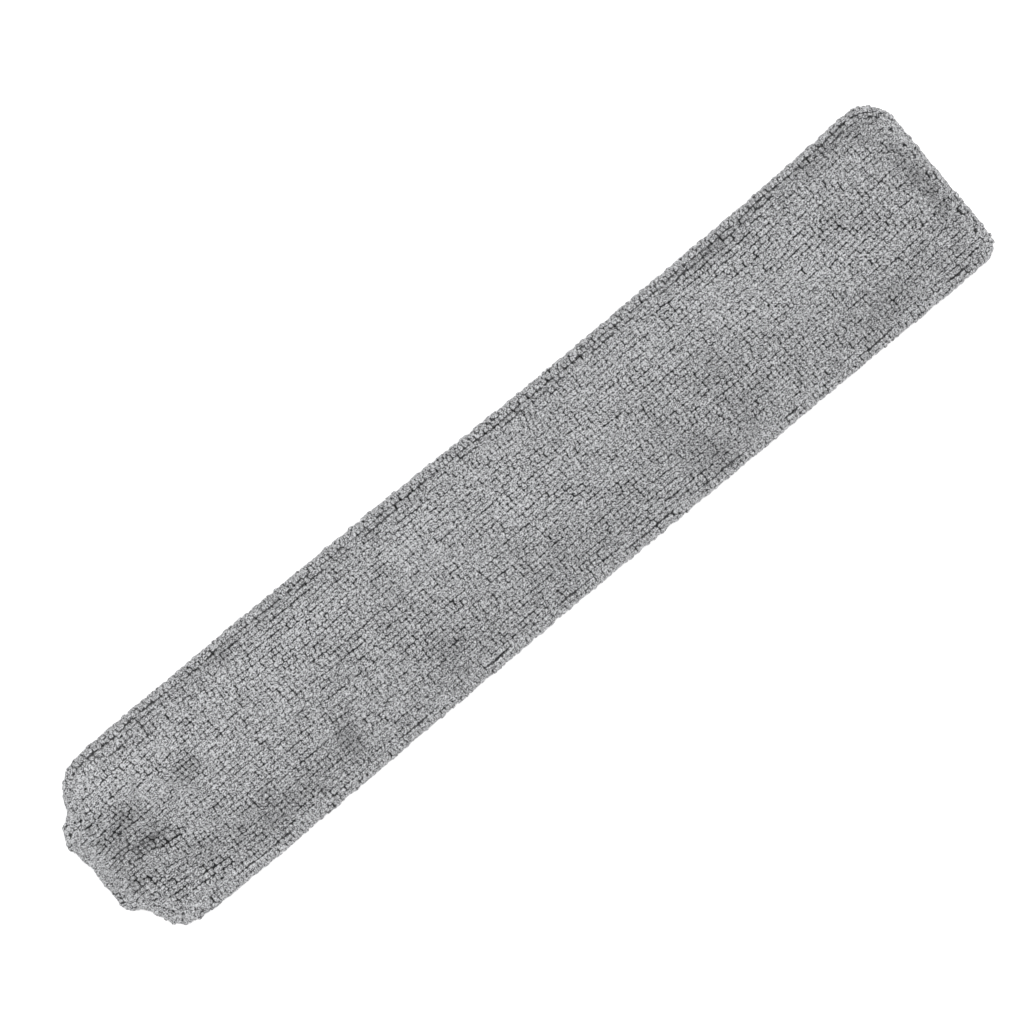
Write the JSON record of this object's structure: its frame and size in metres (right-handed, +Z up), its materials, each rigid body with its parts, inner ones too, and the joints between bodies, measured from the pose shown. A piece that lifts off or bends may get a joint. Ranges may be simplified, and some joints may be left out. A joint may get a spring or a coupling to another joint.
{
  "type": "gap duster sleeve",
  "caption": "Flat looped-microfibre sleeve with a gathered elastic mouth, pulled over a gap duster's blade.",
  "frame": {"origin": "on the surface that the sleeve lies on, under the middle of its box", "axes": "+X from the gathered mouth to the closed tip, +Y across the width to the side with the rounder tip corner, +Z up from the back panel to the front panel"},
  "size_m": [0.6, 0.1139, 0.0152],
  "materials": {
    "cloth": "looped microfibre, matte grey",
    "elastic": "woven elastic, off-white",
    "thread": "polyester thread, grey"
  },
  "bodies": {
    "root": {"front_panel": "cloth", "back_panel": "cloth", "elastic_band": "elastic", "hem_stitch_thread": "thread", "upper_side_overlock_thread": "thread", "upper_side_needle_thread": "thread", "lower_side_overlock_thread": "thread", "lower_side_needle_thread": "thread", "tip_overlock_thread": "thread", "tip_needle_thread": "thread"}
  },
  "joints": []
}
